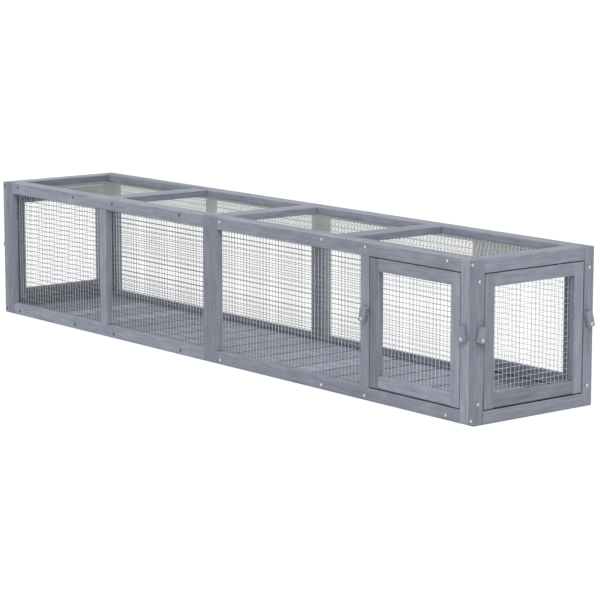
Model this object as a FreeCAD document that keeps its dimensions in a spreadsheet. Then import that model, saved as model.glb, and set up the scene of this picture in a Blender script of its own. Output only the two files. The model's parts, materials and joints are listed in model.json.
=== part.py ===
"""Low cat run: painted timber frames with welded wire mesh, a slatted floor and four lift-out doors.

The origin is at the middle of the underside. X runs along the run, the front is towards -Y and Z is up.
"""

import FreeCAD, Part
import math
import os
import re
import Sketcher

Vector = FreeCAD.Vector

# Driving dimensions, in millimetres, degrees and counts
SIZES = {
    # whole run
    "run_length": 2000,
    "run_width": 381,
    "run_height": 381,
    # timber of the frames
    "bar_thickness": 17,
    "stile_width": 30,
    "rail_width": 31,
    "top_bar_width": 30,
    # doors and the stops behind them
    "door_gap": 2.5,
    "door_thickness": 16,
    "door_seat_gap": 0.3,
    "stop_thickness": 8,
    "stop_seat": 13,
    "stop_lap": 5.5,
    # floor
    "bearer_thickness": 5,
    "bearer_width": 30,
    "board_thickness": 8,
    "board_gap": 2.5,
    "boards_per_panel": 6,
    # welded mesh
    "mesh_pitch": 13,
    "wire_size": 1,
    "mesh_lap": 12,
    "mesh_margin": 3,
    # turn buttons and their pivot screws
    "button_length": 38,
    "button_width": 19,
    "button_thickness": 12,
    "button_corner": 2,
    "button_inset": 8,
    "button_gap": 0.2,
    "button_level": 199,
    "button_tilt": 75,
    "pivot_radius": 2,
    "pivot_clearance": 0.08,
    "pivot_bite": 12,
    "pivot_head_radius": 4,
    "pivot_head_height": 2.4,
    # screws that hold the frames together
    "screw_length": 42,
    "screw_radius": 2,
    "screw_head_radius": 3.8,
    "screw_head_height": 1.2,
    "screw_edge": 10.5,
    "screw_stile_edge": 14,
    "screw_stile_level": 49,
    # screws through a long wall's rails, from the two ends of each top panel
    "panel_1_screw_left": 60.5,
    "panel_1_screw_right": 144,
    "panel_2_screw_left": 47.5,
    "panel_2_screw_right": 133,
    "panel_3_screw_left": 41.5,
    "panel_3_screw_right": 38,
    "panel_4_screw_left": 125.5,
    "panel_4_screw_right": 77,
}

# The top and the floor are each made of this many panels, end to end
PANEL_COUNT = 4

# Sizes that several pieces share, as expressions on the sheet's cells
INNER_LENGTH = "(run_length - 2 * bar_thickness)"
INNER_WIDTH = "(run_width - 2 * bar_thickness)"
HALF_INNER = "(run_length / 2 - bar_thickness)"
OPENING_WIDTH = "(run_width - 2 * stile_width)"
OPENING_HEIGHT = "(run_height - 2 * rail_width)"
LEAF_WIDTH = "(run_width - 2 * stile_width - 2 * door_gap)"
LEAF_HEIGHT = "(run_height - 2 * rail_width - 2 * door_gap)"
PANEL_LENGTH = f"({INNER_LENGTH} / {PANEL_COUNT})"
LEAF_DEPTH = "(bar_thickness - door_seat_gap - door_thickness)"

# Each wall: the axis it runs along, its outer face, the way inwards across it, and its outward normal
WALLS = {
    "front": ("x", "-run_width / 2", 1, Vector(0, -1, 0)),
    "back": ("x", "run_width / 2", -1, Vector(0, 1, 0)),
    "left": ("y", "-run_length / 2", 1, Vector(-1, 0, 0)),
    "right": ("y", "run_length / 2", -1, Vector(1, 0, 0)),
}
UP = Vector(0, 0, 1)

doc = FreeCAD.newDocument("CatRun")
nodes = []


def make_sheet():
    """The spreadsheet with one named cell for each driving dimension."""
    made = doc.addObject("Spreadsheet::Sheet", "Sizes")
    for row, (alias, value) in enumerate(SIZES.items(), start=1):
        made.set(f"A{row}", alias)
        made.set(f"B{row}", str(value))
        made.setAlias(f"B{row}", alias)
    doc.recompute()
    return made


sheet = make_sheet()


def size(alias):
    """A driving dimension as a number, for shapes that are worked out in code."""
    return float(sheet.get(alias))


def bind(thing, prop, text):
    """Tie a property to the sheet. Every word in the text is the alias of a cell."""
    thing.setExpression(prop, re.sub(r"[a-z_]{3,}", r"Sizes.\g<0>", text))


def add_node(thing):
    """Keep an object as one of the run's sub-parts."""
    nodes.append(thing)
    return thing


def bar(name, spans):
    """A straight piece of timber. spans gives (start, length) expressions for x, y and z."""
    box = doc.addObject("Part::Box", name)
    for axis, prop in (("x", "Length"), ("y", "Width"), ("z", "Height")):
        start, length = spans[axis]
        bind(box, prop, length)
        bind(box, f"Placement.Base.{axis}", start)
    return box


def wall_bar(name, wall, along, up, depth):
    """A bar of a wall. depth counts inwards from the wall's outer face."""
    run, face, way, _ = WALLS[wall]
    near, deep = depth
    start = f"{face} + {near}" if way > 0 else f"{face} - {near} - {deep}"
    across = "y" if run == "x" else "x"
    return bar(name, {run: along, "z": up, across: (start, deep)})


def group(name, members):
    """Several separate pieces that share one node."""
    compound = doc.addObject("Part::Compound", name)
    compound.Links = members
    return add_node(compound)


def wall_frame(prefix, wall, uprights, rails_from, rails_length):
    """Stiles and uprights, given as (start, full height or not), and the two rails between them."""
    whole = ("0", "run_height")
    between = ("rail_width", OPENING_HEIGHT)
    depth = ("0", "bar_thickness")
    stiles = []
    for number, (start, full) in enumerate(uprights, start=1):
        up = whole if full else between
        stiles.append(wall_bar(f"{prefix}_stile_{number}", wall, (start, "stile_width"), up, depth))
    group(f"{prefix}_stiles", stiles)
    along = (rails_from, rails_length)
    bottom = wall_bar(f"{prefix}_bottom_rail", wall, along, ("0", "rail_width"), depth)
    top = wall_bar(f"{prefix}_top_rail", wall, along, ("run_height - rail_width", "rail_width"), depth)
    return bottom, top


def mesh_sheet(name, width, height, centre, inward):
    """Welded mesh: two layers of wires that touch where they cross. The first lies on the frame."""
    wire = size("wire_size")
    pitch = size("mesh_pitch")
    wires = []
    for layer, (across, length) in enumerate(((width, height), (height, width))):
        count = int((across - wire) // pitch) + 1
        first = -(count - 1) * pitch / 2
        for number in range(count):
            middle = first + number * pitch
            low = Vector(middle - wire / 2, -length / 2, layer * wire)
            spans = (wire, length)
            if layer:
                low = Vector(-length / 2, middle - wire / 2, layer * wire)
                spans = (length, wire)
            wires.append(Part.makeBox(*spans, wire, low))
    sheet_up = UP if abs(inward.z) < 0.5 else Vector(0, -1, 0)
    feature = doc.addObject("Part::Feature", name)
    feature.Shape = Part.makeCompound(wires)
    turn = FreeCAD.Rotation(sheet_up.cross(inward), sheet_up, inward, "ZYX")
    feature.Placement = FreeCAD.Placement(centre, turn)
    return add_node(feature)


def wall_mesh(name, wall, low, high, depth):
    """A mesh sheet on a wall, from (along, z) low to high, with its first layer at this depth."""
    run, _, way, outward = WALLS[wall]
    half = size("run_width") / 2 if run == "x" else size("run_length") / 2
    along = (low[0] + high[0]) / 2
    level = (low[1] + high[1]) / 2
    place = -way * (half - depth)
    centre = Vector(along, place, level) if run == "x" else Vector(place, along, level)
    return mesh_sheet(name, high[0] - low[0], high[1] - low[1], centre, -outward)


def long_wall(wall):
    """A long wall: two framed half panels, with a bay left open in the right one for the side door."""
    rails_length = f"{HALF_INNER} - 2 * stile_width"
    middle = f"-{HALF_INNER} / 2 - stile_width / 2"
    left_uprights = ((f"-{HALF_INNER}", True), (middle, False), ("-stile_width", True))
    jamb = f"{HALF_INNER} - 2 * stile_width - {OPENING_WIDTH}"
    right_uprights = (("0", True), (jamb, False), (f"{HALF_INNER} - stile_width", True))
    halves = (
        (f"{wall}_left", left_uprights, f"-{HALF_INNER} + stile_width"),
        (f"{wall}_right", right_uprights, "stile_width"),
    )
    for prefix, uprights, rails_from in halves:
        for rail in wall_frame(prefix, wall, uprights, rails_from, rails_length):
            add_node(rail)

    margin = size("mesh_margin")
    inner_end = size("run_length") / 2 - size("bar_thickness")
    jamb_inner_edge = inner_end - size("stile_width") - size("run_width") + 2 * size("stile_width")
    floor_top = size("bearer_thickness") + size("board_thickness")
    low = floor_top + margin
    high = size("run_height") - size("bar_thickness") - margin
    depth = size("bar_thickness")
    left_start = -inner_end + size("stop_thickness") + margin
    right_end = jamb_inner_edge - size("stop_seat") - margin
    wall_mesh(f"{wall}_left_mesh", wall, (left_start, low), (-margin, high), depth)
    wall_mesh(f"{wall}_right_mesh", wall, (margin, low), (right_end, high), depth)


def end_wall(wall):
    """An end frame, which caps the ends of the long walls and holds an end door."""
    uprights = (("-run_width / 2", True), ("run_width / 2 - stile_width", True))
    rails = wall_frame(f"{wall}_end", wall, uprights, f"-{OPENING_WIDTH} / 2", OPENING_WIDTH)
    group(f"{wall}_end_rails", list(rails))


def panel_length():
    """Length of one top or floor panel."""
    return (size("run_length") - 2 * size("bar_thickness")) / PANEL_COUNT


def top_panel(number):
    """A framed mesh panel that lies flat between the walls, flush with their tops."""
    name = f"top_panel_{number}"
    start = f"-{INNER_LENGTH} / 2 + {number - 1} * {PANEL_LENGTH}"
    level = ("run_height - bar_thickness", "bar_thickness")
    side_bars = []
    for side, edge in (("front", f"-{INNER_WIDTH} / 2"), ("back", f"{INNER_WIDTH} / 2 - top_bar_width")):
        spans = {"x": (start, PANEL_LENGTH), "y": (edge, "top_bar_width"), "z": level}
        side_bars.append(bar(f"{name}_{side}_bar", spans))
    group(f"{name}_side_bars", side_bars)
    cross_bars = []
    across = (f"-{INNER_WIDTH} / 2 + top_bar_width", f"{INNER_WIDTH} - 2 * top_bar_width")
    for side, shift in (("left", "0"), ("right", f"{PANEL_LENGTH} - top_bar_width")):
        spans = {"x": (f"{start} + {shift}", "top_bar_width"), "y": across, "z": level}
        cross_bars.append(bar(f"{name}_{side}_bar", spans))
    group(f"{name}_cross_bars", cross_bars)

    length = panel_length()
    width = size("run_width") - 2 * size("bar_thickness")
    border = size("top_bar_width") - size("mesh_lap")
    middle = (number - 0.5 - PANEL_COUNT / 2) * length
    centre = Vector(middle, 0, size("run_height") - size("bar_thickness"))
    mesh_sheet(f"{name}_mesh", length - 2 * border, width - 2 * border, centre, -UP)


def floor_panel(number):
    """Slats across the width. Returns the bearers under them, which all the floor panels share."""
    start = f"-{INNER_LENGTH} / 2 + {number - 1} * {PANEL_LENGTH}"
    pitch = f"({PANEL_LENGTH} / boards_per_panel)"
    boards = []
    for board in range(int(size("boards_per_panel"))):
        spans = {
            "x": (f"{start} + {board} * {pitch} + board_gap / 2", f"{pitch} - board_gap"),
            "y": (f"-{INNER_WIDTH} / 2", INNER_WIDTH),
            "z": ("bearer_thickness", "board_thickness"),
        }
        boards.append(bar(f"floor_board_{number}_{board + 1}", spans))
    group(f"floor_boards_{number}", boards)
    rows = (
        ("front", f"-{INNER_WIDTH} / 2"),
        ("middle", "-bearer_width / 2"),
        ("back", f"{INNER_WIDTH} / 2 - bearer_width"),
    )
    along = (f"{start} + board_gap / 2", f"{PANEL_LENGTH} - board_gap")
    level = ("0", "bearer_thickness")
    return [
        bar(f"floor_bearer_{number}_{row}", {"x": along, "y": (edge, "bearer_width"), "z": level})
        for row, edge in rows
    ]


def door(wall, leaf_from):
    """A lift-out door: two stiles, two rails and a mesh sheet on its inner side."""
    name = f"{wall}_door"
    depth = (LEAF_DEPTH, "door_thickness")
    bottom = "rail_width + door_gap"
    whole = (bottom, LEAF_HEIGHT)
    far = f"{leaf_from} + {LEAF_WIDTH} - stile_width"
    stiles = [
        wall_bar(f"{name}_stile_{number}", wall, (start, "stile_width"), whole, depth)
        for number, start in enumerate((leaf_from, far), start=1)
    ]
    group(f"{name}_stiles", stiles)
    along = (f"{leaf_from} + stile_width", f"{LEAF_WIDTH} - 2 * stile_width")
    levels = (bottom, f"{bottom} + {LEAF_HEIGHT} - rail_width")
    rails = [
        wall_bar(f"{name}_rail_{number}", wall, along, (level, "rail_width"), depth)
        for number, level in enumerate(levels, start=1)
    ]
    group(f"{name}_rails", rails)


def door_mesh(wall, middle):
    """The mesh of a door, lapped onto its stiles and rails."""
    lap = size("mesh_lap")
    half_width = size("run_width") / 2 - 2 * size("stile_width") - size("door_gap") + lap
    half_height = size("run_height") / 2 - 2 * size("rail_width") - size("door_gap") + lap
    level = size("run_height") / 2
    low = (middle - half_width, level - half_height)
    high = (middle + half_width, level + half_height)
    wall_mesh(f"{wall}_door_mesh", wall, low, high, size("bar_thickness") - size("door_seat_gap"))


def door_stops(wall, opening_from):
    """Two strips inside the frame, which the door's edges rest against."""
    depth = ("bar_thickness", "stop_thickness")
    up = ("rail_width", OPENING_HEIGHT)
    width = "stop_seat + door_gap + stop_lap"
    starts = (f"{opening_from} - stop_seat", f"{opening_from} + {OPENING_WIDTH} - door_gap - stop_lap")
    return [
        wall_bar(f"{wall}_door_stop_{number}", wall, (start, width), up, depth)
        for number, start in enumerate(starts, start=1)
    ]


def button_frame(wall, pivot_along, to_door):
    """Where a turn button sits: its pivot on the frame's face, its own X along the block and Z outwards."""
    run, _, way, outward = WALLS[wall]
    half = size("run_width") / 2 if run == "x" else size("run_length") / 2
    level = size("button_level")
    face = -way * half
    pivot = Vector(pivot_along, face, level) if run == "x" else Vector(face, pivot_along, level)
    sideways = Vector(to_door, 0, 0) if run == "x" else Vector(0, to_door, 0)
    tilt = math.radians(size("button_tilt"))
    tip = sideways * math.cos(tilt) + UP * math.sin(tilt)
    return FreeCAD.Placement(pivot, FreeCAD.Rotation(tip, outward.cross(tip), outward, "ZXY"))


def origin_plane(body, role):
    """One of a body's own origin planes."""
    return next(plane for plane in body.Origin.OriginFeatures if plane.Role == role)


def button_outline(body, name):
    """The block's outline round its pivot hole, as a constrained sketch."""
    sketch = body.newObject("Sketcher::SketchObject", f"{name}_outline")
    sketch.AttachmentSupport = [(origin_plane(body, "XY_Plane"), "")]
    sketch.MapMode = "FlatFace"
    left = -size("button_inset")
    right = left + size("button_length")
    half = size("button_width") / 2
    corners = [Vector(left, -half), Vector(right, -half), Vector(right, half), Vector(left, half)]
    for number in range(4):
        sketch.addGeometry(Part.LineSegment(corners[number], corners[(number + 1) % 4]), False)
    hole = sketch.addGeometry(Part.Circle(Vector(), UP, size("pivot_radius")), False)
    for number in range(4):
        sketch.addConstraint(Sketcher.Constraint("Coincident", number, 2, (number + 1) % 4, 1))
    for number, direction in enumerate(("Horizontal", "Vertical", "Horizontal")):
        sketch.addConstraint(Sketcher.Constraint(direction, number))
    sketch.addConstraint(Sketcher.Constraint("Symmetric", 0, 1, 2, 2, -1))
    sketch.addConstraint(Sketcher.Constraint("Coincident", hole, 3, -1, 1))
    sizes = (
        ("length", ("DistanceX", 0, 1, 0, 2, right - left), "button_length"),
        ("width", ("DistanceY", 1, 1, 1, 2, 2 * half), "button_width"),
        ("inset", ("DistanceX", 0, 1, -1, 1, -left), "button_inset"),
        ("hole", ("Radius", hole, size("pivot_radius")), "pivot_radius + pivot_clearance"),
    )
    for label, constraint, text in sizes:
        number = sketch.addConstraint(Sketcher.Constraint(*constraint))
        sketch.renameConstraint(number, label)
        bind(sketch, f"Constraints.{label}", text)
    return sketch


def corner_edges(block):
    """Names of the block's upright corner edges, without the seam of the pivot hole."""
    names = []
    for number, edge in enumerate(block.Edges, start=1):
        ends = [vertex.Point for vertex in edge.Vertexes]
        upright = len(ends) == 2 and ends[0].sub(ends[1]).cross(UP).Length < 0.001
        if upright and math.hypot(ends[0].x, ends[0].y) > size("button_inset"):
            names.append(f"Edge{number}")
    return names


def turn_button(name, frame):
    """A wooden block with its corners taken off, which turns on its screw to hold a door."""
    body = doc.addObject("PartDesign::Body", name)
    block = body.newObject("PartDesign::Pad", f"{name}_block")
    block.Profile = button_outline(body, name)
    bind(block, "Length", "button_thickness")
    doc.recompute()
    corners = body.newObject("PartDesign::Chamfer", f"{name}_corners")
    corners.Base = (block, corner_edges(block.Shape))
    bind(corners, "Size", "button_corner")
    body.Placement = frame.multiply(FreeCAD.Placement(Vector(0, 0, size("button_gap")), FreeCAD.Rotation()))
    return add_node(body)


def prism(name, sides, radius, length, start):
    """A straight prism that stands for a screw's round head or shank, with few faces."""
    made = doc.addObject("Part::Prism", name)
    made.Polygon = sides
    bind(made, "Circumradius", radius)
    bind(made, "Height", length)
    bind(made, "Placement.Base.z", start)
    return made


def pivot_screw(name, frame):
    """The screw that a button turns on, driven into the frame's wood."""
    through = "2 * button_gap + button_thickness"
    head = prism(f"{name}_head", 8, "pivot_head_radius", "pivot_head_height", through)
    shank = prism(f"{name}_shank", 6, "pivot_radius", f"pivot_bite + {through}", "-pivot_bite")
    screw = doc.addObject("Part::Fuse", name)
    screw.Base = head
    screw.Tool = shank
    screw.Placement = frame
    return screw


def frame_screw_places():
    """Each frame screw's head: a point on an outer face and that face's outward normal."""
    half_length = size("run_length") / 2
    half_width = size("run_width") / 2
    levels = (size("screw_edge"), size("run_height") - size("screw_edge"))
    stile_levels = (size("screw_stile_level"), size("run_height") - size("screw_stile_level"))
    end_edge = half_length - size("bar_thickness") / 2
    alongs = [-end_edge, end_edge]
    for number in range(1, PANEL_COUNT + 1):
        right_end = (number - PANEL_COUNT / 2) * panel_length()
        alongs.append(right_end - panel_length() + size(f"panel_{number}_screw_left"))
        alongs.append(right_end - size(f"panel_{number}_screw_right"))
    places = []
    for wall in ("front", "back"):
        outward = WALLS[wall][3]
        places += [(Vector(along, outward.y * half_width, z), outward) for along in alongs for z in levels]
    across = half_width - size("screw_stile_edge")
    for wall in ("left", "right"):
        outward = WALLS[wall][3]
        face = outward.x * half_length
        places += [(Vector(face, y, z), outward) for y in (-across, across) for z in stile_levels]
    return places


def frame_screws():
    """All the screws of the frames: a low head and a plain shank, copied to each place."""
    head = prism("screw_head", 8, "screw_head_radius", "screw_head_height", "0")
    shank = prism("screw_shank", 4, "screw_radius", "screw_length", "-screw_length")
    pattern = doc.addObject("Part::Fuse", "screw_pattern")
    pattern.Base = head
    pattern.Tool = shank
    doc.recompute()
    copies = []
    for point, outward in frame_screw_places():
        screw = pattern.Shape.copy()
        screw.Placement = FreeCAD.Placement(point, FreeCAD.Rotation(UP, outward))
        copies.append(screw)
    feature = doc.addObject("Part::Feature", "frame_screws")
    feature.Shape = Part.makeCompound(copies)
    return add_node(feature)


def doors_and_buttons():
    """The four doors with their stops, and two turn buttons beside each of them."""
    side_from = f"{HALF_INNER} - stile_width - {OPENING_WIDTH}"
    end_from = f"-{OPENING_WIDTH} / 2"
    opening = size("run_width") - 2 * size("stile_width")
    side_middle = size("run_length") / 2 - size("bar_thickness") - size("stile_width") - opening / 2
    stops = []
    screws = []
    for wall in WALLS:
        long_side = WALLS[wall][0] == "x"
        opening_from = side_from if long_side else end_from
        middle = side_middle if long_side else 0.0
        door(wall, f"{opening_from} + door_gap")
        door_mesh(wall, middle)
        stops += door_stops(wall, opening_from)
        reach = opening / 2 + size("stile_width") / 2
        for number, side in enumerate((-1, 1), start=1):
            frame = button_frame(wall, middle + side * reach, -side)
            turn_button(f"{wall}_door_button_{number}", frame)
            screws.append(pivot_screw(f"{wall}_door_pivot_{number}", frame))
    group("door_stops", stops)
    group("pivot_screws", screws)


def build():
    """Model every sub-part."""
    for wall in ("front", "back"):
        long_wall(wall)
    for wall in ("left", "right"):
        end_wall(wall)
    bearers = []
    for number in range(1, PANEL_COUNT + 1):
        top_panel(number)
        bearers += floor_panel(number)
    group("floor_bearers", bearers)
    doors_and_buttons()
    frame_screws()
    doc.recompute()


def check():
    """Stop if any object failed or any sub-part isn't a valid solid."""
    for thing in doc.Objects:
        if {"Invalid", "Error"} & set(thing.State):
            raise RuntimeError(f"{thing.Label} failed: {thing.State}")
    for node in nodes:
        if node.Shape.isNull() or not node.Shape.isValid() or not node.Shape.Solids:
            raise RuntimeError(f"{node.Label} has no valid solid")


def export():
    """Write one STEP file for each sub-part."""
    os.makedirs("parts", exist_ok=True)
    for node in nodes:
        node.Shape.exportStep(f"parts/{node.Label}.step")


build()
check()
export()
print(len(nodes), "nodes,", sum(len(node.Shape.Solids) for node in nodes), "solids")
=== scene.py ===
"""Looks of the cat run: stained timber, galvanised mesh, staples, screws, studio light and camera."""

import json
import math
import random

import bpy
import numpy as np
from mathutils import Matrix, Vector


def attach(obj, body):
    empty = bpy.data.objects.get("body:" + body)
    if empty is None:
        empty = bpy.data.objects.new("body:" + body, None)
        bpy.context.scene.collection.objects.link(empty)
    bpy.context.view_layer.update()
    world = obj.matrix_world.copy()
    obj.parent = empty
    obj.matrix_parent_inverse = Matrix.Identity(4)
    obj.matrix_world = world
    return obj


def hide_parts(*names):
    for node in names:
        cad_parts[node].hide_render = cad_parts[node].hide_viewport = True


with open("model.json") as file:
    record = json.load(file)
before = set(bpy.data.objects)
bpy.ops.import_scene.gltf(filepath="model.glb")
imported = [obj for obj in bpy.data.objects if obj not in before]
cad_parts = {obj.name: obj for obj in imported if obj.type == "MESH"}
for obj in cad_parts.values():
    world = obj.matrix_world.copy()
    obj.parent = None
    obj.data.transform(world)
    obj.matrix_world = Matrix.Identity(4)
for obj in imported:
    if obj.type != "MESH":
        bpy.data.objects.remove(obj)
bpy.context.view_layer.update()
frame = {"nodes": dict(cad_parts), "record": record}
RECORD = frame["record"]
BODY_OF = {node: body for body, nodes in RECORD["behaviour"]["bodies"].items() for node in nodes}
SLOT_OF = {part["node"]: part["material_slot"] for part in RECORD["subparts"]}
MM = 0.001
rng = random.Random(7)

# The way from each wall's outer face into the run: an axis and a sign
INWARD = {"front": (1, 1), "back": (1, -1), "left": (0, 1), "right": (0, -1), "top": (2, -1)}


# Materials

class Graph:
    """A material's node tree with short calls for adding and linking nodes."""

    def __init__(self, name):
        self.material = bpy.data.materials.new(name)
        self.material.use_nodes = True
        self.tree = self.material.node_tree
        self.shader = self.tree.nodes["Principled BSDF"]

    def put(self, socket, value):
        """Links another node's output to a socket, or sets the socket's own value."""
        if isinstance(value, bpy.types.NodeSocket):
            self.tree.links.new(value, socket)
        else:
            socket.default_value = value

    def shade(self, name, value):
        self.put(self.shader.inputs[name], value)

    def add(self, kind, inputs=None, **settings):
        node = self.tree.nodes.new(kind)
        for key, value in settings.items():
            setattr(node, key, value)
        for key, value in (inputs or {}).items():
            self.put(node.inputs[key], value)
        return node

    def attribute(self, name, output="Fac"):
        return self.add("ShaderNodeAttribute", attribute_name=name).outputs[output]

    def math(self, operation, first, second=0.0):
        return self.add("ShaderNodeMath", {0: first, 1: second}, operation=operation).outputs[0]

    def noise(self, vector, scale, detail, roughness, distortion=0.0):
        inputs = {"Vector": vector, "Scale": scale, "Detail": detail}
        inputs |= {"Roughness": roughness, "Distortion": distortion}
        return self.add("ShaderNodeTexNoise", inputs).outputs["Fac"]

    def stretched(self, vector, stretch):
        return self.add("ShaderNodeMapping", {"Vector": vector, "Scale": stretch}).outputs[0]

    def occlusion(self, reach):
        return self.add("ShaderNodeAmbientOcclusion", {"Distance": reach}, samples=8).outputs["AO"]

    def remap(self, value, low, high, to_low=0.0, to_high=1.0):
        inputs = {"Value": value, "From Min": low, "From Max": high, "To Min": to_low, "To Max": to_high}
        return self.add("ShaderNodeMapRange", inputs, clamp=True).outputs[0]

    def mix(self, factor, first, second, blend="MIX"):
        node = self.add("ShaderNodeMix", data_type="RGBA", blend_type=blend)
        sockets = {socket.identifier: socket for socket in (*node.inputs, *node.outputs)}
        self.put(sockets["Factor_Float"], factor)
        self.put(sockets["A_Color"], first)
        self.put(sockets["B_Color"], second)
        return sockets["Result_Color"]

    def tinted(self, colour, *gains):
        """The colour times one or more grey values."""
        gain = gains[0]
        for more in gains[1:]:
            gain = self.math("MULTIPLY", gain, more)
        grey = self.add("ShaderNodeCombineColor", {0: gain, 1: gain, 2: gain}).outputs[0]
        return self.mix(1.0, colour, grey, "MULTIPLY")

    def bump(self, height, strength, distance):
        inputs = {"Height": height, "Strength": strength, "Distance": distance}
        return self.add("ShaderNodeBump", inputs).outputs[0]


def rgb(red, green, blue):
    """A colour given in the 0 to 255 steps of a screen, as linear light."""
    steps = (value / 255 for value in (red, green, blue))
    return (*((s / 12.92 if s < 0.04045 else ((s + 0.055) / 1.055) ** 2.4) for s in steps), 1.0)


# The span that most of a noise's values lie in
NOISE_SPAN = (0.3, 0.7)
# Marks in the timber, in cycles per metre along the grain and in the two ways across it
FIBRES = (28, 520, 520)
GROWTH_BANDS = (10, 125, 125)
BLOTCHES = (13, 30, 30)
END_GRAIN = (60, 260, 260)
PALE_BAND = rgb(146, 146, 150)
# Reach of the painted shade in crevices and gaps
CREVICE_SHADE_REACH = 6 * MM
FIBRE_HEIGHT = 0.4 * MM
# Marks in the zinc, in cycles per metre
SPANGLES = 240.0
DULL_PATCHES = 18.0
SPANGLE_HEIGHT = 0.2 * MM
SCRATCHES = 900.0
# Dark of the screws: painted shade in the recess and the rim, and also the stain on stained heads
SCREW_RECESS = rgb(44, 46, 52)
SCREW_FACE = rgb(240, 245, 255)


def timber_material(name, colour, streak=1.0):
    """Stained softwood: fibres, growth bands, blotches and end grain, with painted highlights on the
    arrises, painted shade in crevices and gaps, and painted light and shade on inner and narrow faces.
    """
    g = Graph(name)
    grain = g.attribute("grain", "Vector")
    fibre = g.noise(g.stretched(grain, FIBRES), 1.0, 4.0, 0.65)
    bands = g.noise(g.stretched(grain, GROWTH_BANDS), 1.0, 4.0, 0.6, 0.6)
    blotch = g.noise(g.stretched(grain, BLOTCHES), 1.0, 3.0, 0.6)
    ends = g.noise(g.stretched(grain, END_GRAIN), 1.0, 2.0, 0.5)
    # Painted highlight: the arrises a little lighter, broken up along the fibres
    arris_highlight = g.math("MULTIPLY", g.attribute("edge"), g.remap(fibre, 0.42, 0.62, -0.02, 0.08))
    open_end = g.math("MULTIPLY", g.attribute("cut"), g.remap(ends, 0.35, 0.65, 0.10, 0.26))
    tone = g.math("SUBTRACT", g.math("ADD", g.attribute("tone"), arris_highlight), open_end)
    banded = g.mix(g.remap(bands, 0.55, 0.8, 0.0, 0.25), colour, PALE_BAND)
    stained = g.tinted(
        banded,
        tone,
        g.remap(fibre, *NOISE_SPAN, 1.0 - 0.10 * streak, 1.0 + 0.08 * streak),
        g.remap(bands, *NOISE_SPAN, 1.0 - 0.15 * streak, 1.0 + 0.11 * streak),
        g.remap(blotch, *NOISE_SPAN, 0.90, 1.10),
        # Painted light and shade on the inner faces
        g.math("ADD", g.attribute("inner"), 1.0),
        # Painted shade on the arrises beside gaps
        g.remap(g.attribute("groove"), 0.0, 1.0, 1.0, 0.22),
        # Painted shade where occlusion finds other surfaces close by
        g.remap(g.occlusion(CREVICE_SHADE_REACH), 0.1, 0.75, 0.30, 1.0),
    )
    g.shade("Base Color", stained)
    g.shade("Roughness", g.remap(fibre, *NOISE_SPAN, 0.52, 0.70))
    g.shade("Specular IOR Level", 0.3)
    g.shade("Normal", g.bump(fibre, 0.25, FIBRE_HEIGHT))
    return g.material


def wire_material(name, colour):
    """Galvanised wire: mottled zinc, brighter or duller from wire to wire."""
    g = Graph(name)
    place = g.add("ShaderNodeTexCoord").outputs["Object"]
    spangle = g.noise(place, SPANGLES, 3.0, 0.6)
    dull = g.noise(place, DULL_PATCHES, 2.0, 0.5)
    mottled = g.tinted(
        colour,
        g.attribute("tone"),
        g.remap(spangle, *NOISE_SPAN, 0.82, 1.14),
        g.remap(dull, *NOISE_SPAN, 0.92, 1.06),
    )
    g.shade("Base Color", mottled)
    g.shade("Metallic", 0.3)
    g.shade("Roughness", g.remap(spangle, *NOISE_SPAN, 0.36, 0.56))
    g.shade("Normal", g.bump(spangle, 0.12, SPANGLE_HEIGHT))
    return g.material


def screw_material(name):
    """Zinc-plated screw: bright faces, painted shade in the drive recess and in the rim round the head,
    and fine scratches.
    """
    g = Graph(name)
    place = g.add("ShaderNodeTexCoord").outputs["Object"]
    scratch = g.noise(place, SCRATCHES, 2.0, 0.6)
    colour = g.mix(g.attribute("shade"), SCREW_RECESS, SCREW_FACE)
    g.shade("Base Color", g.tinted(colour, g.remap(scratch, *NOISE_SPAN, 0.92, 1.0)))
    g.shade("Metallic", 0.85)
    g.shade("Roughness", g.remap(scratch, *NOISE_SPAN, 0.22, 0.38))
    return g.material


TIMBERS = {
    "frame_timber": timber_material("stained_timber", rgb(142, 147, 160), 1.25),
    "floor_boards": timber_material("stained_floor", rgb(149, 155, 172), 1.1),
    # The strips are a darker copy of the frame's stain, which is painted shade
    "inner_timber": timber_material("strips_with_painted_shade", rgb(118, 123, 136)),
}
BUTTON_TIMBER = timber_material("stained_buttons", rgb(143, 148, 160), 1.2)
WIRE = wire_material("galvanised_wire", rgb(202, 205, 210))
TOP_WIRE = wire_material("weathered_wire", rgb(203, 205, 204))
STAPLE = wire_material("staple_wire", rgb(196, 196, 198))
SCREW = screw_material("zinc_screw")


# Reading the frame's nodes

SAME_POINT = 0.001 * MM


def node_vertices(node):
    mesh = frame["nodes"][node].data
    points = np.empty(len(mesh.vertices) * 3)
    mesh.vertices.foreach_get("co", points)
    return points.reshape(-1, 3)


def solids(node):
    """Lowest and highest corner of each separate solid of a node."""
    points = node_vertices(node)
    mesh = frame["nodes"][node].data
    steps = np.round(points / SAME_POINT).astype(np.int64)
    keys, same = np.unique(steps, axis=0, return_inverse=True)
    same = same.ravel()
    parent = list(range(len(keys)))

    def root(index):
        while parent[index] != index:
            parent[index] = parent[parent[index]]
            index = parent[index]
        return index

    for polygon in mesh.polygons:
        first = root(same[polygon.vertices[0]])
        for vertex in polygon.vertices[1:]:
            parent[root(same[vertex])] = first
    groups = {}
    for index, key in enumerate(same):
        groups.setdefault(root(key), []).append(index)
    boxes = [(points[members].min(axis=0), points[members].max(axis=0)) for members in groups.values()]
    return sorted(boxes, key=lambda box: tuple(np.round(box[0], 5)))


# Making meshes

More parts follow.
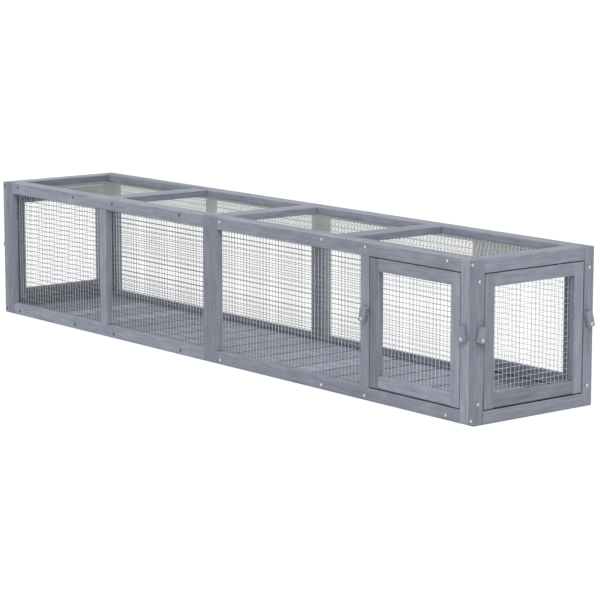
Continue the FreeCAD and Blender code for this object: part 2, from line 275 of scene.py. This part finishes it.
class Build:
    """Collects vertices, faces and per-point values of several pieces into one mesh."""

    def __init__(self):
        self.points = []
        self.faces = []
        self.values = {}

    def add(self, points, faces, **values):
        start = len(self.points)
        self.points += [tuple(point) for point in points]
        self.faces += [tuple(start + index for index in face) for face in faces]
        for name, column in values.items():
            self.values.setdefault(name, []).extend(column)

    def finish(self, name, material, body, slot, replaced=(), smooth=30.0):
        """One object on a body, smooth wherever its faces meet at less than an angle in degrees."""
        mesh = bpy.data.meshes.new(name)
        mesh.from_pydata(self.points, [], self.faces)
        for key, column in self.values.items():
            vector = hasattr(column[0], "__len__")
            layer = mesh.attributes.new(key, "FLOAT_VECTOR" if vector else "FLOAT", "POINT")
            flat = np.asarray(column, dtype=np.float32).ravel()
            layer.data.foreach_set("vector" if vector else "value", flat)
        mesh.materials.append(material)
        mesh.update()
        piece = bpy.data.objects.new(name, mesh)
        bpy.context.scene.collection.objects.link(piece)
        mesh.shade_smooth()
        mesh.set_sharp_from_angle(angle=math.radians(smooth))
        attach(piece, body)
        if replaced:
            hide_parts(*replaced)


def rings_to_faces(ring_count, around):
    """Quads between rings of points, with a closing face at each end."""
    faces = []
    for ring in range(ring_count - 1):
        for step in range(around):
            low = ring * around + step
            after = ring * around + (step + 1) % around
            faces.append((low, after, after + around, low + around))
    faces.append(tuple(reversed(range(around))))
    faces.append(tuple((ring_count - 1) * around + step for step in range(around)))
    return faces


# Timber bars

ARRIS = 0.7 * MM
BLEND = 3.5 * MM
BLEND_SHARE = 0.6
STATION_STEP = 90 * MM
FLAT = 0.01 * MM
GRAIN_REACH = 9.0
# Tone of the bars that stand out, in the order in which their solids lie, stain with painted light and
# shade mixed in; the floor boards' tones hold painted shade, darker towards floor_boards_1; the rest
# vary at random
TONES = {
    "front_left_stiles": (0.80, 1.05, 0.85),
    "front_right_stiles": (0.85, 1.00, 1.15),
    "front_left_top_rail": (1.05,),
    "front_left_bottom_rail": (1.10,),
    "front_right_top_rail": (0.95,),
    "front_right_bottom_rail": (0.95,),
    "front_door_stiles": (0.75, 1.10),
    "front_door_rails": (1.15, 0.95),
    "right_end_stiles": (0.90, 0.95),
    "right_end_rails": (1.00, 1.00),
    "right_door_stiles": (0.90, 1.05),
    "right_door_rails": (0.80, 1.00),
    "top_panel_1_side_bars": (1.00, 0.70),
    "top_panel_2_side_bars": (1.00, 0.95),
    "top_panel_3_side_bars": (0.90, 0.95),
    "top_panel_4_side_bars": (0.90, 0.90),
    "top_panel_1_cross_bars": (1.00, 1.00),
    "top_panel_2_cross_bars": (0.95, 0.95),
    "top_panel_3_cross_bars": (0.90, 0.85),
    "top_panel_4_cross_bars": (0.80, 0.90),
    # The floor boards' tones hold painted shade, darker towards floor_boards_1
    "floor_boards_1": (0.65, 0.60, 1.05, 0.80, 1.05, 0.75),
    "floor_boards_2": (0.85, 1.00, 1.10, 1.10, 1.05, 1.00),
    "floor_boards_3": (1.00, 1.15, 1.05, 1.30, 0.95, 1.05),
    "floor_boards_4": (1.10, 1.15, 1.25, 1.05, 1.20, 1.05),
}
OTHER_TONES = (0.90, 1.05)
# How much lighter or darker the inner faces are painted, as painted light and shade, by wall and for the
# bars that differ from their wall
INNER_FACE_LIGHT_AND_SHADE = {
    "front": 0.10,
    "back": -0.05,
    "left": 0.10,
    "right": 0.10,
    "top": 0.10,
    "left_end_rails": -0.40,
    "left_door_rails": -0.40,
}
# Tone that the narrow faces lean to, as painted light and shade, by wall and for the bars that differ
# from their wall
SIDE_FACE_LIGHT_AND_SHADE = {
    "front": 1.05,
    "back": 1.00,
    "left": 1.00,
    "right": 0.80,
    "top": 1.10,
    "top_panel_1_cross_bars": 0.70,
    "top_panel_2_cross_bars": 0.80,
    "top_panel_3_cross_bars": 1.05,
    "top_panel_4_cross_bars": 0.95,
}
SIDE_LEAN = 0.75
# Sides of a bar, as an axis and a sign, whose arrises get painted shade from the gap beside them
BOARD_GAPS = ((0, -1), (0, 1))
DOOR_GAPS = ((2, -1),)
GAP_SHADE_REACH = 1.5 * ARRIS


def grain_place():
    """A place of its own in the grain for each piece of timber."""
    return np.array([rng.uniform(-GRAIN_REACH, GRAIN_REACH) for _ in range(3)])


def bar_section(half_wide, half_thick):
    """Outline of a bar with eased arrises, and how near each point is to an arris."""
    blend_across, blend_up = (min(BLEND, BLEND_SHARE * half) for half in (half_wide, half_thick))
    outline = []
    for quarter in range(4):
        across, up = ((1, 1), (-1, 1), (-1, -1), (1, -1))[quarter]
        centre = (across * (half_wide - ARRIS), up * (half_thick - ARRIS))
        arc = [
            (centre[0] + ARRIS * math.cos(angle), centre[1] + ARRIS * math.sin(angle), 1.0)
            for angle in (math.radians(90 * quarter + turn) for turn in (0, 45, 90))
        ]
        before = (across * half_wide, up * (half_thick - blend_up), 0.0)
        after = (across * (half_wide - blend_across), up * half_thick, 0.0)
        if quarter % 2:
            before, after = after, before
        outline += [before, *arc, after]
    return outline


def add_bar(build, low, high, tone, inward=None, inner_light_and_shade=0.0, side_light_and_shade=1.0, gaps=()):
    """A timber bar that fills a box, with its grain along the longest side."""
    spans = high - low
    centre = (low + high) / 2
    long_axis = int(np.argmax(spans))
    wide = (long_axis + 1) % 3
    thick = (long_axis + 2) % 3
    half = spans[long_axis] / 2
    outline = bar_section(spans[wide] / 2, spans[thick] / 2)
    count = max(2, int(spans[long_axis] / STATION_STEP))
    stations = [(-half, 1.0, 1.0), (-half + ARRIS, 0.0, 1.0)]
    stations += [(along, 0.0, 0.0) for along in np.linspace(BLEND - half, half - BLEND, count + 1)]
    stations += [(half - ARRIS, 0.0, 1.0), (half, 1.0, 1.0)]
    shift = grain_place()
    facing = inward[0] if inward else thick
    side_axis = 3 - long_axis - facing
    # Painted light and shade: the narrow faces lean towards a tone of their own
    side_tone = tone + SIDE_LEAN * (side_light_and_shade - tone)
    points, grain, edge, cut, inner, groove, tones = [], [], [], [], [], [], []
    for along, drawn_in, end in stations:
        for across, up, near in outline:
            if drawn_in:
                across -= math.copysign(min(ARRIS, abs(across)), across)
                up -= math.copysign(min(ARRIS, abs(up)), up)
            local = np.zeros(3)
            local[long_axis], local[wide], local[thick] = along, across, up
            points.append(centre + local)
            grain.append(np.array([along, across, up]) + shift)
            edge.append(max(near, end))
            cut.append(drawn_in)
            # Painted light and shade on the inner face
            within = inward is not None and local[inward[0]] * inward[1] > spans[inward[0]] / 2 - FLAT
            inner.append(inner_light_and_shade if within else 0.0)
            # Painted shade on the arrises beside a gap
            gap_shaded = any(local[axis] * sign > spans[axis] / 2 - GAP_SHADE_REACH for axis, sign in gaps)
            groove.append(float(gap_shaded))
            sideways = inward is not None and abs(local[side_axis]) > spans[side_axis] / 2 - FLAT
            tones.append(side_tone if sideways else tone)
    faces = rings_to_faces(len(stations), len(outline))
    build.add(points, faces, grain=grain, edge=edge, cut=cut, inner=inner, groove=groove, tone=tones)


def timber_piece(node, material):
    """All the bars of one node as one dressed piece."""
    build = Build()
    wall = node.split("_")[0]
    inner_light_and_shade = INNER_FACE_LIGHT_AND_SHADE.get(node, INNER_FACE_LIGHT_AND_SHADE.get(wall, 0.0))
    side_light_and_shade = SIDE_FACE_LIGHT_AND_SHADE.get(node, SIDE_FACE_LIGHT_AND_SHADE.get(wall, 1.0))
    stain_and_shade = TONES.get(node)
    for number, (low, high) in enumerate(solids(node)):
        tone = stain_and_shade[number] if stain_and_shade else rng.uniform(*OTHER_TONES)
        gaps = BOARD_GAPS if wall == "floor" else ()
        if node.endswith("door_rails") and number == 0:
            gaps = DOOR_GAPS
        add_bar(build, low, high, tone, INWARD.get(wall), inner_light_and_shade, side_light_and_shade, gaps)
    build.finish(f"{node}_timber", material, BODY_OF[node], SLOT_OF[node], [node])


# Welded mesh and its staples

WALL_RADIUS = 0.66 * MM
DOOR_RADIUS = 0.48 * MM
TOP_RADIUS = 0.45 * MM
# The long sheets' level wires are of a heavier gauge
HEAVY_GAUGE = 1.25
WIRE_STEP = 70 * MM
WIRE_WANDER = 0.05 * MM
# Share by which the two layers of wires sink towards each other at the welds
WELD_SINK = 0.25
# Zinc tone of each wall's wires along X, Y and Z, and of the sheets that differ from their wall, with
# painted light and shade by the wires' direction
WIRE_TONES_AND_SHADE = {
    "front": (0.30, 1.00, 0.95),
    "back": (0.35, 1.00, 1.00),
    "left": (1.00, 0.80, 1.35),
    "right": (1.00, 1.20, 1.20),
    "top": (0.85, 0.85, 1.00),
    "front_left_mesh": (0.05, 1.00, 0.95),
    "front_door_mesh": (0.65, 1.00, 1.25),
    "back_door_mesh": (0.50, 1.00, 0.95),
    "top_panel_1_mesh": (0.65, 0.65, 1.00),
    "top_panel_4_mesh": (1.10, 1.10, 1.00),
}
ZINC_SPREAD = (0.94, 1.06)
# A painted highlight keeps a wire's upper side bright
UPPER_HIGHLIGHT = 1.0
HIGHLIGHT_FALL_OFF = 4
# The outermost wires lie on the timber and get painted shade
EDGE_WIRE_SHADE = 0.3
EDGE_REACH = 5 * MM
# Every so many wires are stapled, at both ends and on the uprights between them
STAPLE_FIRST = 3
STAPLE_EVERY = 9
STAPLE_FROM_END = 6 * MM
STAPLE_APART = 100 * MM
STAPLE_WANDER = 1.2 * MM
STAPLE_TURN = 0.12
STAPLE_HALF = 4.6 * MM
STAPLE_HALF_WIDTH = 0.6 * MM
STAPLE_CROWN = 2.9 * MM
STAPLE_ROOT = -0.4 * MM
STAPLE_BEND = 0.9 * MM
STAPLE_THICK = 0.7 * MM
STAPLE_TONES = (0.85, 1.1)


def add_tube(build, path, radius, tone, highlight_tone, around=8):
    """A round wire along a nearly straight path, with a painted highlight on its upper side, in a tone
    of its own.
    """
    path = [Vector(point) for point in path]
    direction = (path[-1] - path[0]).normalized()
    side = direction.orthogonal().normalized()
    other = direction.cross(side)
    points, tones = [], []
    for centre in path:
        for step in range(around):
            angle = 2 * math.pi * step / around
            outward = math.cos(angle) * side + math.sin(angle) * other
            points.append(centre + radius * outward)
            # Painted highlight: lighter towards the wire's upper side
            tones.append(tone + (highlight_tone - tone) * max(0.0, outward.z) ** HIGHLIGHT_FALL_OFF)
    build.add(points, rings_to_faces(len(path), around), tone=tones)


def wire_path(centre, start, end, long_axis, side):
    """Points along a wire, each a little beside its true line."""
    length = end[long_axis] - start[long_axis]
    count = max(2, int(length / WIRE_STEP))
    path = []
    for step in range(count + 1):
        point = centre.copy()
        point[long_axis] = start[long_axis] + length * step / count
        point[side] += rng.gauss(0, WIRE_WANDER)
        path.append(point)
    return path


def add_staple(build, place, across, inward, along):
    """A staple over a wire: a flat wire bent square, with its two legs in the wood."""
    shoulder = STAPLE_CROWN - STAPLE_BEND
    bend = STAPLE_HALF - STAPLE_BEND
    inner_half = STAPLE_HALF - STAPLE_THICK
    inner_crown = STAPLE_CROWN - STAPLE_THICK
    outer = [(STAPLE_HALF, STAPLE_ROOT), (STAPLE_HALF, shoulder), (bend, STAPLE_CROWN)]
    inner = [(inner_half, STAPLE_ROOT), (inner_half, shoulder), (bend, inner_crown)]
    outer, inner = ([(-x, z) for x, z in half] + half[::-1] for half in (outer, inner))
    points = []
    for (outer_x, outer_z), (inner_x, inner_z) in zip(outer, inner):
        for x, z, y in (
            (outer_x, outer_z, STAPLE_HALF_WIDTH),
            (outer_x, outer_z, -STAPLE_HALF_WIDTH),
            (inner_x, inner_z, -STAPLE_HALF_WIDTH),
            (inner_x, inner_z, STAPLE_HALF_WIDTH),
        ):
            points.append(place + across * x + inward * z + along * y)
    build.add(points, rings_to_faces(len(outer), 4), tone=[rng.uniform(*STAPLE_TONES)] * len(points))


def mesh_piece(node):
    """Welded mesh of round wires, each a little out of true, with staples on the timber behind it."""
    wall = node.split("_")[0]
    normal, sign = INWARD[wall]
    boxes = solids(node)
    low = np.min([box[0] for box in boxes], axis=0)
    high = np.max([box[1] for box in boxes], axis=0)
    middle = (low + high)[normal] / 2
    wood = low[normal] if sign > 0 else high[normal]
    inward = np.eye(3)[normal] * sign
    long_sheet = node.endswith("left_mesh")
    stiles = solids(f"{wall}_left_stiles") if long_sheet else []
    uprights = [(box[0] + box[1])[0] / 2 for box in stiles]
    radius = TOP_RADIUS if wall == "top" else DOOR_RADIUS if "door" in node else WALL_RADIUS
    material = TOP_WIRE if wall == "top" else WIRE
    wires, staples = Build(), Build()
    counts = {}
    for start, end in boxes:
        long_axis = int(np.argmax(end - start))
        side = 3 - long_axis - normal
        centre = (start + end) / 2
        centre[normal] += (middle - centre[normal]) * WELD_SINK
        path = wire_path(centre, start, end, long_axis, side)
        gauge = HEAVY_GAUGE if long_sheet and long_axis == 0 else 1.0
        # The tone holds painted light and shade by the wire's direction
        zinc = WIRE_TONES_AND_SHADE.get(node, WIRE_TONES_AND_SHADE[wall])[long_axis] * rng.uniform(*ZINC_SPREAD)
        highlight_zinc = max(zinc, UPPER_HIGHLIGHT)
        # Painted shade on the outermost wires, beside the timber
        if min(start[side] - low[side], high[side] - end[side]) < EDGE_REACH:
            zinc = highlight_zinc = EDGE_WIRE_SHADE
        add_tube(wires, path, radius * gauge, zinc, highlight_zinc)
        counts[long_axis] = counts.get(long_axis, -1) + 1
        if counts[long_axis] % STAPLE_EVERY != STAPLE_FIRST:
            continue
        first = start[long_axis] + STAPLE_FROM_END
        last = end[long_axis] - STAPLE_FROM_END
        spots = [first, last]
        if long_axis == 0:
            spots += [x for x in uprights if first + STAPLE_APART < x < last - STAPLE_APART]
        for spot in spots:
            place = centre.copy()
            place[long_axis] = spot + rng.gauss(0, STAPLE_WANDER)
            place[normal] = wood
            turn = rng.gauss(0, STAPLE_TURN)
            across = np.eye(3)[side] * math.cos(turn) + np.eye(3)[long_axis] * math.sin(turn)
            add_staple(staples, place, across, inward, np.cross(inward, across))
    wires.finish(f"{node}_wires", material, BODY_OF[node], SLOT_OF[node], [node], smooth=50.0)
    staples.finish(f"{node}_staples", STAPLE, BODY_OF[node], SLOT_OF[node])


for node in frame["nodes"]:
    slot = SLOT_OF[node]
    if slot in TIMBERS:
        timber_piece(node, TIMBERS[slot])
    elif slot == "mesh_wire":
        mesh_piece(node)


# Turn buttons: blocks with rounded corners round their pivots

BUTTON_CORNER = 1.2 * MM
BUTTON_TONES = (0.9, 1.0)
# Rings of a button, above its back face and below its front face, and how far each is drawn in
BACK_RINGS = ((0.0, 0.5 * MM), (0.5 * MM, 0.0))
FRONT_RINGS = ((3.0 * MM, 0.0), (0.8 * MM, 0.0), (0.2 * MM, 0.25 * MM), (0.0, 0.8 * MM), (0.0, 3.0 * MM))
# Band round a button's arrises that gets the painted highlight
HIGHLIGHT_INSET = 2.0 * MM


def rounded_outline(low, high, radius, steps=4):
    """Corner-rounded rectangle from low to high, anticlockwise."""
    corners = ((high[0], high[1]), (low[0], high[1]), (low[0], low[1]), (high[0], low[1]))
    outline = []
    for quarter, (x, y) in enumerate(corners):
        centre = (x - math.copysign(radius, x), y - math.copysign(radius, y))
        for step in range(steps + 1):
            angle = math.radians(90 * quarter + 90 * step / steps)
            outline.append((centre[0] + radius * math.cos(angle), centre[1] + radius * math.sin(angle)))
    return outline


def button_piece(joint):
    """A turn button in the place of its node: its own X runs to the tip and Z out of the frame."""
    node = joint["child"]
    points = node_vertices(node)
    pivot = np.array(joint["pos_m"])
    outward = np.array(joint["axis"], dtype=float)
    reach = (points.min(axis=0) + points.max(axis=0)) / 2 - pivot
    tip = reach - outward * reach.dot(outward)
    tip /= np.linalg.norm(tip)
    side = np.cross(outward, tip)
    local = np.stack([(points - pivot) @ axis for axis in (tip, side, outward)], axis=1)
    low, high = local.min(axis=0), local.max(axis=0)
    outline = rounded_outline(low[:2], high[:2], BUTTON_CORNER)
    rings = [(low[2] + above, inset) for above, inset in BACK_RINGS]
    rings += [(high[2] - below, inset) for below, inset in FRONT_RINGS]
    build = Build()
    shift = grain_place()
    placed, grain, edge = [], [], []
    for level, inset in rings:
        for x, y in outline:
            drawn = np.array([x - math.copysign(inset, x), y - math.copysign(inset, y), level])
            placed.append(pivot + tip * drawn[0] + side * drawn[1] + outward * drawn[2])
            grain.append(drawn + shift)
            edge.append(1.0 if 0.0 < inset < HIGHLIGHT_INSET else 0.0)
    none = [0.0] * len(placed)
    faces = rings_to_faces(len(rings), len(outline))
    tone = [rng.uniform(*BUTTON_TONES)] * len(placed)
    build.add(placed, faces, grain=grain, edge=edge, cut=none, inner=none, groove=none, tone=tone)
    build.finish(f"{node}_block", BUTTON_TIMBER, BODY_OF[node], SLOT_OF[node], [node], smooth=35.0)


for joint in RECORD["behaviour"]["joints"]:
    if joint["type"] == "hinge":
        button_piece(joint)


# Screws

# Radius and height of each kind of head
FRAME_HEAD = (3.1 * MM, 1.2 * MM)
PIVOT_HEAD = (4.0 * MM, 2.4 * MM)
# Rings of a head from its edge to its middle, as shares of its radius, and the rim of painted shadow
# round it in wood
HEAD_RINGS = (1.0, 0.96, 0.86, 0.72, 0.58, 0.44, 0.30, 0.16)
SHADOW_RIM = 1.32
HEAD_STEPS = 32
HEAD_FOOT = 0.02 * MM
HEAD_EDGE = 0.04 * MM
# How far the dome falls towards the edge, as a share of the height, and how late
DOME_FALL = 0.55
DOME_POWER = 2.4
# The cross recess, in shares of the radius and of the height, and the painted shade in it
ARM_HALF_WIDTH = 0.13
ARM_REACH = 0.6
ARM_DEPTH = 0.62
ARM_RUN_OUT = 0.6
ARM_SHADE = 0.3
BARE_HEAD = 1.0
STAINED_HEAD = 0.12
STAINED_BEYOND = -0.1
HEAD_SPREAD = (0.94, 1.0)


def screw_head(radius, height, shade, rim):
    """A low domed head with a cross recess and, in wood, a dark rim of painted shadow round it."""
    shares = ((SHADOW_RIM,) if rim else ()) + HEAD_RINGS
    points, bright = [], []
    for number, share in enumerate((shares[0],) + shares):
        for step in range(HEAD_STEPS):
            angle = 2 * math.pi * step / HEAD_STEPS
            x = share * math.cos(angle)
            y = share * math.sin(angle)
            arm = min(abs(x), abs(y)) < ARM_HALF_WIDTH and max(abs(x), abs(y)) < ARM_REACH
            rise = height * (1 - DOME_FALL * share ** DOME_POWER)
            if arm:
                rise -= height * ARM_DEPTH * (1 - ARM_RUN_OUT * share)
            if share >= 1.0:
                rise = HEAD_EDGE if number else HEAD_FOOT
            points.append((x * radius, y * radius, rise))
            # Painted shade in the recess arms and a painted shadow on the rim
            bright.append(0.0 if share > 1.0 else shade * (ARM_SHADE if arm else 1.0))
    return points, rings_to_faces(len(shares) + 1, HEAD_STEPS), bright


def far_front(place, outward):
    """Whether a screw is one of the front's far ones, which took the stain."""
    return outward[1] < 0 and place[0] < STAINED_BEYOND


def screw_heads(node, size, rim=False, stained=None):
    """Heads for all the screws of a node, each on the face that its own solid marks."""
    radius, height = size
    build = Build()
    for low, high in solids(node):
        axis = int(np.argmax(high - low))
        place = (low + high) / 2
        outward = np.eye(3)[axis] * math.copysign(1.0, place[axis])
        place[axis] = (high if place[axis] > 0 else low)[axis]
        place -= outward * height
        shade = STAINED_HEAD if stained and stained(place, outward) else BARE_HEAD
        points, faces, bright = screw_head(radius, height, shade * rng.uniform(*HEAD_SPREAD), rim)
        spin = Vector((0, 0, 1)).rotation_difference(Vector(outward)).to_matrix()
        turned = spin @ Matrix.Rotation(rng.uniform(0, math.pi / 2), 3, "Z")
        build.add([turned @ Vector(point) + Vector(place) for point in points], faces, shade=bright)
    build.finish(f"{node[:-1]}_heads", SCREW, BODY_OF[node], SLOT_OF[node], [node], smooth=40.0)


screw_heads("frame_screws", FRAME_HEAD, rim=True, stained=far_front)
screw_heads("pivot_screws", PIVOT_HEAD)


# Studio

WHITE = (1, 1, 1, 1)
WORLD_LIGHT = 0.52
LAMP_DISTANCE = 6
FLOOR_REACH = 40
FLOOR_DROP = 0.5 * MM
FLOOR_COLOUR = (0.8, 0.8, 0.8, 1)
FLOOR_SHADOW = (0.25, 0.25, 0.25, 1)
FLOOR_GLOW = 0.8
SHADOW_REACH = 0.25
CAMERA_PLACE = (4.863, -3.809, 1.169)
CAMERA_AZIMUTH = math.radians(51.147)
CAMERA_ELEVATION = math.radians(9.434)
CAMERA_LENS = 142.3
CAMERA_SENSOR = 36.0
CAMERA_FAR = 200


def seen_directly(tree):
    """1 for the rays that show the background: from the camera, in a reflection and through glass."""
    path = tree.nodes.new("ShaderNodeLightPath")
    seen = path.outputs["Is Camera Ray"]
    for name in ("Is Glossy Ray", "Is Transmission Ray"):
        either = tree.nodes.new("ShaderNodeMath")
        either.operation = "MAXIMUM"
        tree.links.new(seen, either.inputs[0])
        tree.links.new(path.outputs[name], either.inputs[1])
        seen = either.outputs[0]
    return seen


def world_light():
    """White where it is seen, and a calmer grey for the light itself."""
    world = bpy.data.worlds.new("studio")
    world.use_nodes = True
    tree = world.node_tree
    strength = tree.nodes.new("ShaderNodeMapRange")
    strength.inputs["To Min"].default_value = WORLD_LIGHT
    strength.inputs["To Max"].default_value = 1.0
    tree.links.new(seen_directly(tree), strength.inputs["Value"])
    background = tree.nodes["Background"]
    background.inputs["Color"].default_value = WHITE
    tree.links.new(strength.outputs[0], background.inputs["Strength"])
    bpy.context.scene.world = world


def lamp(name, energy, direction, spread):
    """A wide, soft sun that shines from this direction towards the run."""
    data = bpy.data.lights.new(name, "SUN")
    data.energy = energy
    data.angle = math.radians(spread)
    thing = bpy.data.objects.new(name, data)
    aim = Vector(direction).normalized()
    thing.location = aim * LAMP_DISTANCE
    thing.rotation_euler = aim.to_track_quat("Z", "Y").to_euler()
    bpy.context.scene.collection.objects.link(thing)


def floor():
    """A pale floor that shows white to the camera, apart from the run's soft shadow, partly cast and
    partly painted where occlusion finds the run above.
    """
    mesh = bpy.data.meshes.new("floor")
    corners = [(FLOOR_REACH * x, FLOOR_REACH * y, 0) for x, y in ((-1, -1), (1, -1), (1, 1), (-1, 1))]
    mesh.from_pydata(corners, [], [(0, 1, 2, 3)])
    g = Graph("pale_floor")
    g.tree.nodes.remove(g.shader)
    plain = g.add("ShaderNodeBsdfDiffuse", {"Color": FLOOR_COLOUR}).outputs[0]
    shadowed = g.add("ShaderNodeBsdfDiffuse", {"Color": FLOOR_SHADOW}).outputs[0]
    # Painted shadow: the camera's glow fades where occlusion finds the run above
    glow = g.remap(g.occlusion(SHADOW_REACH), 0.1, 0.4, 0.0, FLOOR_GLOW)
    lift = g.add("ShaderNodeEmission", {"Color": WHITE, "Strength": glow}).outputs[0]
    pale = g.add("ShaderNodeAddShader", {0: shadowed, 1: lift}).outputs[0]
    both = g.add("ShaderNodeMixShader", {0: seen_directly(g.tree), 1: plain, 2: pale}).outputs[0]
    g.put(g.tree.nodes["Material Output"].inputs["Surface"], both)
    mesh.materials.append(g.material)
    thing = bpy.data.objects.new("floor", mesh)
    thing.location.z = -FLOOR_DROP
    bpy.context.scene.collection.objects.link(thing)


def camera():
    """The photograph's view: the length of the run falls away to the left."""
    data = bpy.data.cameras.new("camera")
    data.sensor_width = CAMERA_SENSOR
    data.lens = CAMERA_LENS
    data.clip_end = CAMERA_FAR
    thing = bpy.data.objects.new("camera", data)
    thing.location = CAMERA_PLACE
    ahead = Vector((-math.sin(CAMERA_AZIMUTH), math.cos(CAMERA_AZIMUTH), -math.tan(CAMERA_ELEVATION)))
    thing.rotation_euler = ahead.to_track_quat("-Z", "Y").to_euler()
    bpy.context.scene.collection.objects.link(thing)
    bpy.context.scene.camera = thing


bpy.context.scene.view_settings.view_transform = "Standard"
world_light()
lamp("key", energy=1.55, direction=(0.88, -0.78, 1.17), spread=35)
lamp("top", energy=0.75, direction=(-0.2, 0.1, 1.0), spread=60)
floor()
camera()
